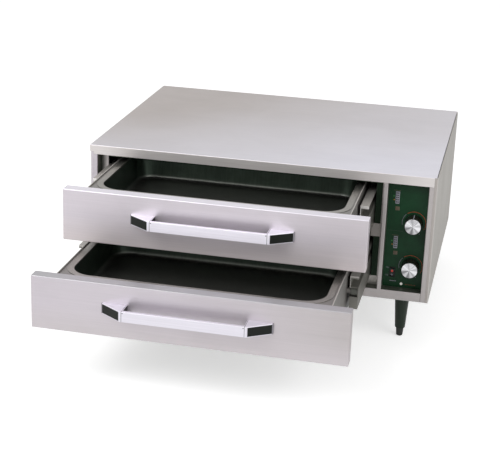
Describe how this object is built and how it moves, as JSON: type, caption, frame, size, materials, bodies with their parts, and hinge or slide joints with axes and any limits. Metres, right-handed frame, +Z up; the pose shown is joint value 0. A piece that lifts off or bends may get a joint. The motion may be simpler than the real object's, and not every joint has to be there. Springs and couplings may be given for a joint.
{
  "type": "countertop warming drawer",
  "caption": "Countertop food warmer with stacked roller-slide drawers holding pans, bar handles, a recessed control panel with dials and a rocker switch, on tapered legs.",
  "frame": {"origin": "on the surface the feet stand on, under the centre of the whole part at rest", "axes": "+Z up, front of the cabinet towards -Y (the drawers open along -Y), +X to the right seen from the front"},
  "size_m": [0.7494, 1.022, 0.377],
  "materials": {
    "stainless": "fine vertical and lengthwise brushed grain, satin",
    "base_steel": "mill finish",
    "liner": "dark heat-tinted aluminised sheet, low sheen",
    "insulation": "matt fibre blanket",
    "control_panel": "very dark green, satin",
    "terminal": "matt",
    "switch": "satin black",
    "lamp_red": "clear red, lit",
    "lamp_white": "milky",
    "gland": "moulded",
    "leg": "black, semi-gloss",
    "fastener": "bright zinc",
    "thermostat": "plated",
    "knob": "black, fine mould texture",
    "knob_face": "spun",
    "element": "heat-blued sheath",
    "slide": "satin",
    "roller": "turned nylon",
    "drawer_steel": "satin",
    "pan": "deep-drawn, semi-bright",
    "handle": "satin cast",
    "handle_cap": "black"
  },
  "bodies": {
    "cabinet": {"top_cover": "stainless", "side_panel_left": "stainless", "side_panel_right": "stainless", "front_frame": "stainless", "back_panel": "stainless", "base_pan": "base_steel", "cavity_liner": "liner", "cavity_back": "liner", "cavity_front_flange": "liner", "drawer_divider": "liner", "insulation": "insulation", "control_panel": "control_panel", "terminal_block": "terminal", "switch_housing": "switch", "pilot_lens": "lamp_white", "cord_gland": "gland", "leg_front_left": "leg", "leg_front_right": "leg", "leg_rear_left": "leg", "leg_rear_right": "leg", "leg_feet": "leg", "cabinet_fasteners": "fastener", "thermostat_upper": "thermostat", "heating_element_upper": "element", "track_upper_left": "slide", "track_upper_right": "slide", "thermostat_lower": "thermostat", "heating_element_lower": "element", "track_lower_left": "slide", "track_lower_right": "slide"},
    "drawer_upper": {"drawer_front_upper": "stainless", "drawer_front_liner_upper": "drawer_steel", "drawer_frame_upper": "drawer_steel", "pan_upper": "pan", "handle_upper": "handle", "handle_caps_upper": "handle_cap"},
    "rails_upper": {"slide_rail_upper_left": "slide", "slide_rail_upper_right": "slide"},
    "rail_rollers_upper_front": {"rail_rollers_upper_front": "roller"},
    "rail_rollers_upper_rear": {"rail_rollers_upper_rear": "roller"},
    "drawer_rollers_upper_front": {"drawer_rollers_upper_front": "roller"},
    "drawer_rollers_upper_rear": {"drawer_rollers_upper_rear": "roller"},
    "knob_upper": {"knob_upper": "knob", "knob_face_upper": "knob_face"},
    "drawer_lower": {"drawer_front_lower": "stainless", "drawer_front_liner_lower": "drawer_steel", "drawer_frame_lower": "drawer_steel", "pan_lower": "pan", "handle_lower": "handle", "handle_caps_lower": "handle_cap"},
    "rails_lower": {"slide_rail_lower_left": "slide", "slide_rail_lower_right": "slide"},
    "rail_rollers_lower_front": {"rail_rollers_lower_front": "roller"},
    "rail_rollers_lower_rear": {"rail_rollers_lower_rear": "roller"},
    "drawer_rollers_lower_front": {"drawer_rollers_lower_front": "roller"},
    "drawer_rollers_lower_rear": {"drawer_rollers_lower_rear": "roller"},
    "knob_lower": {"knob_lower": "knob", "knob_face_lower": "knob_face"},
    "rocker": {"rocker": "switch", "rocker_lens": "lamp_red"}
  },
  "joints": [
    {"name": "drawer_upper_slide", "type": "slide", "parent": "cabinet", "child": "drawer_upper", "axis": [0, -1, 0], "range_m": [-0.222, 0.18]},
    {"name": "rails_upper_slide", "type": "slide", "parent": "cabinet", "child": "rails_upper", "axis": [0, -1, 0], "range_m": [-0.111, 0.09]},
    {"name": "rail_rollers_upper_front_spin", "type": "hinge", "parent": "rails_upper", "child": "rail_rollers_upper_front", "pos_m": [-0.0461, 0.055, 0.2435], "axis": [1, 0, 0], "range_deg": [-502, 408]},
    {"name": "rail_rollers_upper_rear_spin", "type": "hinge", "parent": "rails_upper", "child": "rail_rollers_upper_rear", "pos_m": [-0.0461, 0.323, 0.2435], "axis": [1, 0, 0], "range_deg": [-502, 408]},
    {"name": "drawer_rollers_upper_front_spin", "type": "hinge", "parent": "drawer_upper", "child": "drawer_rollers_upper_front", "pos_m": [-0.0461, -0.061, 0.295], "axis": [1, 0, 0], "range_deg": [-693, 562]},
    {"name": "drawer_rollers_upper_rear_spin", "type": "hinge", "parent": "drawer_upper", "child": "drawer_rollers_upper_rear", "pos_m": [-0.0461, 0.207, 0.295], "axis": [1, 0, 0], "range_deg": [-693, 562]},
    {"name": "knob_upper_turn", "type": "hinge", "parent": "cabinet", "child": "knob_upper", "pos_m": [0.33065, -0.064, 0.267], "axis": [0, 1, 0], "range_deg": [-150, 120]},
    {"name": "drawer_lower_slide", "type": "slide", "parent": "cabinet", "child": "drawer_lower", "axis": [0, -1, 0], "range_m": [-0.402, 0]},
    {"name": "rails_lower_slide", "type": "slide", "parent": "cabinet", "child": "rails_lower", "axis": [0, -1, 0], "range_m": [-0.201, 0]},
    {"name": "rail_rollers_lower_front_spin", "type": "hinge", "parent": "rails_lower", "child": "rail_rollers_lower_front", "pos_m": [-0.0461, -0.035, 0.1255], "axis": [1, 0, 0], "range_deg": [-908, 0]},
    {"name": "rail_rollers_lower_rear_spin", "type": "hinge", "parent": "rails_lower", "child": "rail_rollers_lower_rear", "pos_m": [-0.0461, 0.233, 0.1255], "axis": [1, 0, 0], "range_deg": [-908, 0]},
    {"name": "drawer_rollers_lower_front_spin", "type": "hinge", "parent": "drawer_lower", "child": "drawer_rollers_lower_front", "pos_m": [-0.0461, -0.241, 0.177], "axis": [1, 0, 0], "range_deg": [-1253, 0]},
    {"name": "drawer_rollers_lower_rear_spin", "type": "hinge", "parent": "drawer_lower", "child": "drawer_rollers_lower_rear", "pos_m": [-0.0461, 0.027, 0.177], "axis": [1, 0, 0], "range_deg": [-1253, 0]},
    {"name": "knob_lower_turn", "type": "hinge", "parent": "cabinet", "child": "knob_lower", "pos_m": [0.33065, -0.064, 0.1695], "axis": [0, 1, 0], "range_deg": [-150, 120]},
    {"name": "rocker_tilt", "type": "hinge", "parent": "cabinet", "child": "rocker", "pos_m": [0.29285, -0.047, 0.153], "axis": [1, 0, 0], "range_deg": [-16, 0]}
  ],
  "couplings": [
    {"joint": "rails_upper_slide", "follows": "drawer_upper_slide", "ratio": 0.5},
    {"joint": "rail_rollers_upper_front_spin", "follows": "drawer_upper_slide", "rad_per_m": 39.37},
    {"joint": "rail_rollers_upper_rear_spin", "follows": "drawer_upper_slide", "rad_per_m": 39.37},
    {"joint": "drawer_rollers_upper_front_spin", "follows": "drawer_upper_slide", "rad_per_m": 54.348},
    {"joint": "drawer_rollers_upper_rear_spin", "follows": "drawer_upper_slide", "rad_per_m": 54.348},
    {"joint": "rails_lower_slide", "follows": "drawer_lower_slide", "ratio": 0.5},
    {"joint": "rail_rollers_lower_front_spin", "follows": "drawer_lower_slide", "rad_per_m": 39.37},
    {"joint": "rail_rollers_lower_rear_spin", "follows": "drawer_lower_slide", "rad_per_m": 39.37},
    {"joint": "drawer_rollers_lower_front_spin", "follows": "drawer_lower_slide", "rad_per_m": 54.348},
    {"joint": "drawer_rollers_lower_rear_spin", "follows": "drawer_lower_slide", "rad_per_m": 54.348}
  ]
}
